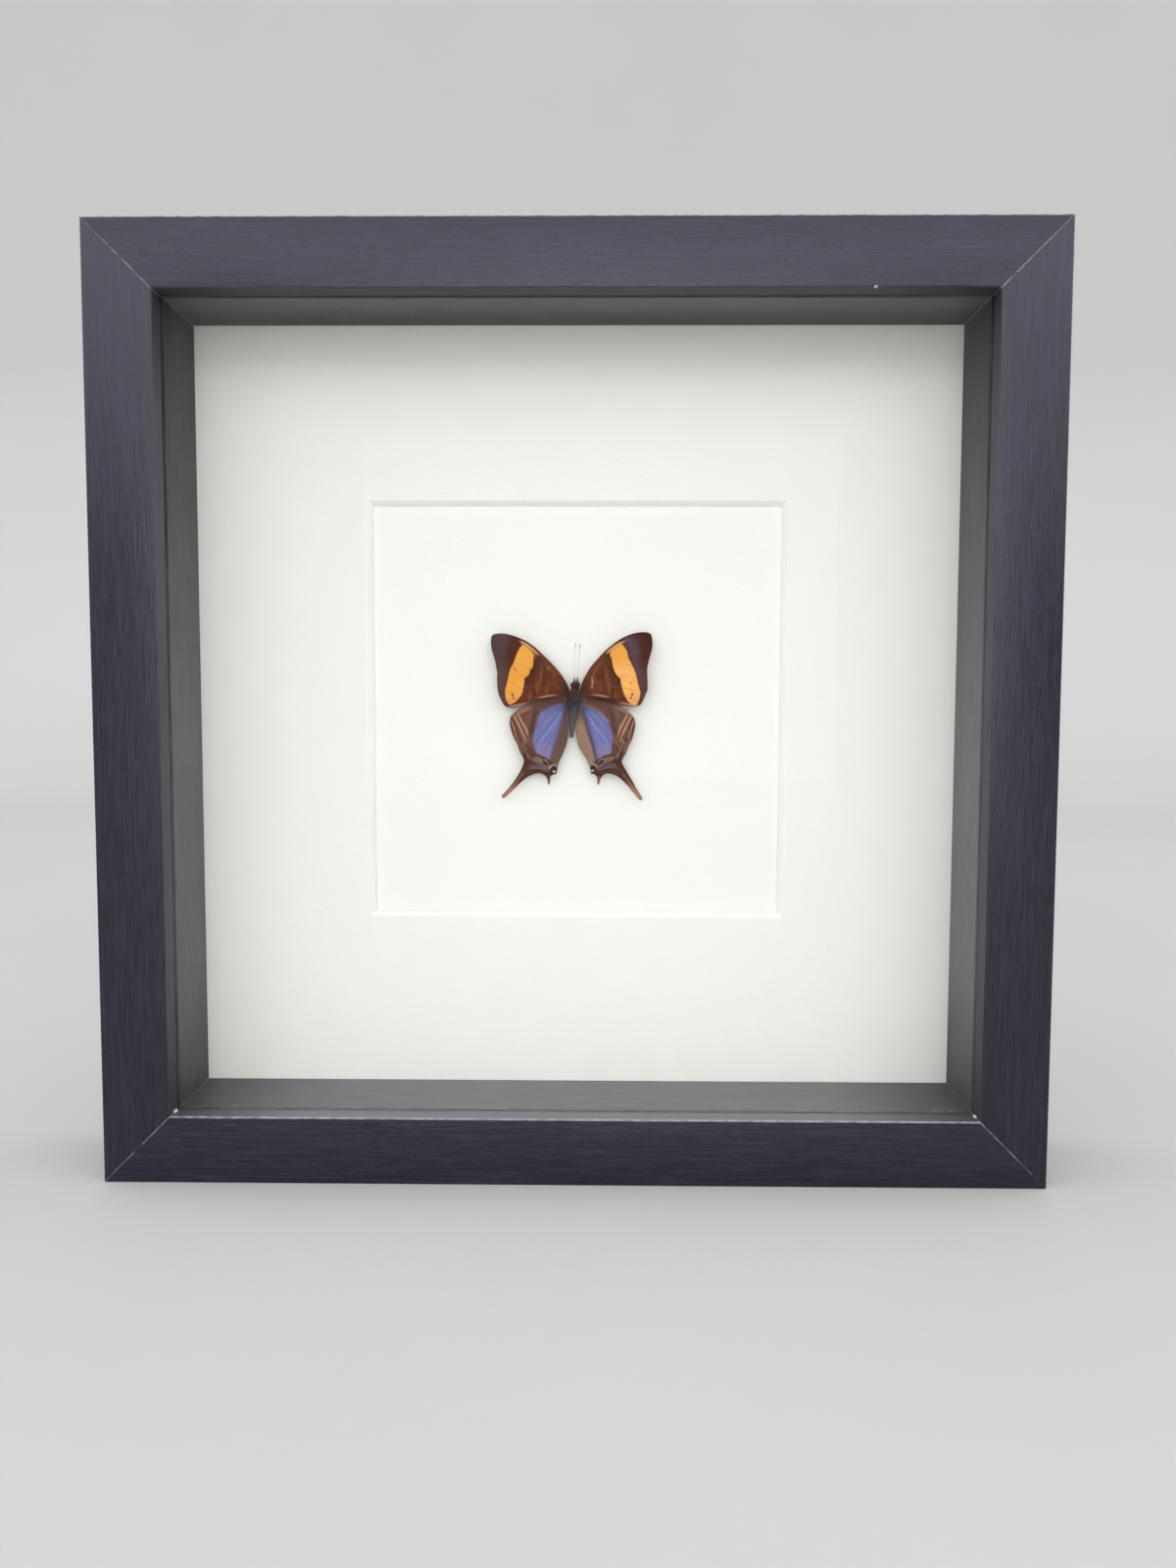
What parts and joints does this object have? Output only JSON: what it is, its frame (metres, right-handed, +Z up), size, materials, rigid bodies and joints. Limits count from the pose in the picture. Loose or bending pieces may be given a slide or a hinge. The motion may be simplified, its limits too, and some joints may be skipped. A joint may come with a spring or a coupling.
{
  "type": "framed butterfly specimen",
  "caption": "Square black shadow-box frame with a white bevelled mat and a spread tailed butterfly behind glass, for standing on a shelf or hanging.",
  "frame": {"origin": "middle of the frame's footprint, on the surface that the bottom rail stands on", "axes": "+X to the viewer's right, +Y from the glass to the back, +Z up"},
  "size_m": [0.275, 0.045, 0.275],
  "materials": {
    "rail_foil": "satin wood-grain foil",
    "clear_glass": "clear",
    "spacer_grey": "matte grey",
    "mat_white": "matte white",
    "board_white": "matte white",
    "hardboard": "raw hardboard",
    "steel": "dull steel",
    "insect_body": "matte hairy",
    "forewing": "satin scales",
    "hindwing": "satin scales",
    "antenna": "matte"
  },
  "bodies": {
    "root": {"rail_top": "rail_foil", "rail_bottom": "rail_foil", "rail_left": "rail_foil", "rail_right": "rail_foil", "glass_pane": "clear_glass", "spacer_top": "spacer_grey", "spacer_bottom": "spacer_grey", "spacer_left": "spacer_grey", "spacer_right": "spacer_grey", "mat_board": "mat_white", "specimen_board": "board_white", "back_panel": "hardboard", "tab_bottom_1": "steel", "tab_bottom_2": "steel", "tab_right_1": "steel", "tab_right_2": "steel", "tab_top_1": "steel", "tab_top_2": "steel", "tab_left_1": "steel", "tab_left_2": "steel", "sawtooth_hanger": "steel", "hanger_nail_left": "steel", "hanger_nail_right": "steel", "butterfly_body": "insect_body", "forewing_left": "forewing", "forewing_right": "forewing", "hindwing_left": "hindwing", "hindwing_right": "hindwing", "antenna_left": "antenna", "antenna_right": "antenna"}
  },
  "joints": []
}
